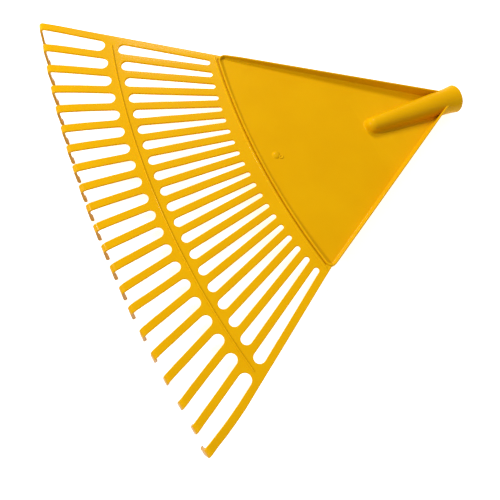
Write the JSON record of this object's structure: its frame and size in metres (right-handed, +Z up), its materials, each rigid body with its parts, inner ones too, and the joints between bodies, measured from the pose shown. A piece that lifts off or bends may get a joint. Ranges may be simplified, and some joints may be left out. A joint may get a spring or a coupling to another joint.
{
  "type": "leaf rake head",
  "caption": "Fan-shaped plastic leaf rake head with slotted tines, hooked tips, a shallow tray and a closed tapered handle socket.",
  "frame": {"origin": "under the middle of the bounding box, on the surface that the hook tips and the socket rim stand on", "axes": "+X along the head from the handle socket to the tips, +Y across the fan, +Z up, out of the tray"},
  "size_m": [0.4886, 0.5634, 0.046],
  "materials": {
    "moulded_plastic": "satin gloss, moulded in one yellow-orange colour"
  },
  "bodies": {
    "root": {"root_band": "moulded_plastic", "cross_band": "moulded_plastic", "cross_rib": "moulded_plastic", "inner_tine_01": "moulded_plastic", "inner_tine_02": "moulded_plastic", "inner_tine_03": "moulded_plastic", "inner_tine_04": "moulded_plastic", "inner_tine_05": "moulded_plastic", "inner_tine_06": "moulded_plastic", "inner_tine_07": "moulded_plastic", "inner_tine_08": "moulded_plastic", "inner_tine_09": "moulded_plastic", "inner_tine_10": "moulded_plastic", "inner_tine_11": "moulded_plastic", "inner_tine_12": "moulded_plastic", "inner_tine_13": "moulded_plastic", "inner_tine_14": "moulded_plastic", "inner_tine_15": "moulded_plastic", "inner_tine_16": "moulded_plastic", "inner_tine_17": "moulded_plastic", "inner_tine_18": "moulded_plastic", "inner_tine_19": "moulded_plastic", "inner_tine_20": "moulded_plastic", "inner_tine_21": "moulded_plastic", "outer_tine_01": "moulded_plastic", "outer_tine_02": "moulded_plastic", "outer_tine_03": "moulded_plastic", "outer_tine_04": "moulded_plastic", "outer_tine_05": "moulded_plastic", "outer_tine_06": "moulded_plastic", "outer_tine_07": "moulded_plastic", "outer_tine_08": "moulded_plastic", "outer_tine_09": "moulded_plastic", "outer_tine_10": "moulded_plastic", "outer_tine_11": "moulded_plastic", "outer_tine_12": "moulded_plastic", "outer_tine_13": "moulded_plastic", "outer_tine_14": "moulded_plastic", "outer_tine_15": "moulded_plastic", "outer_tine_16": "moulded_plastic", "outer_tine_17": "moulded_plastic", "outer_tine_18": "moulded_plastic", "outer_tine_19": "moulded_plastic", "outer_tine_20": "moulded_plastic", "outer_tine_21": "moulded_plastic", "tray_floor_front": "moulded_plastic", "tray_floor_left": "moulded_plastic", "tray_floor_right": "moulded_plastic", "front_lip": "moulded_plastic", "gate_mark": "moulded_plastic", "side_wall_left": "moulded_plastic", "side_wall_right": "moulded_plastic", "handle_socket": "moulded_plastic", "socket_rim": "moulded_plastic"}
  },
  "joints": []
}
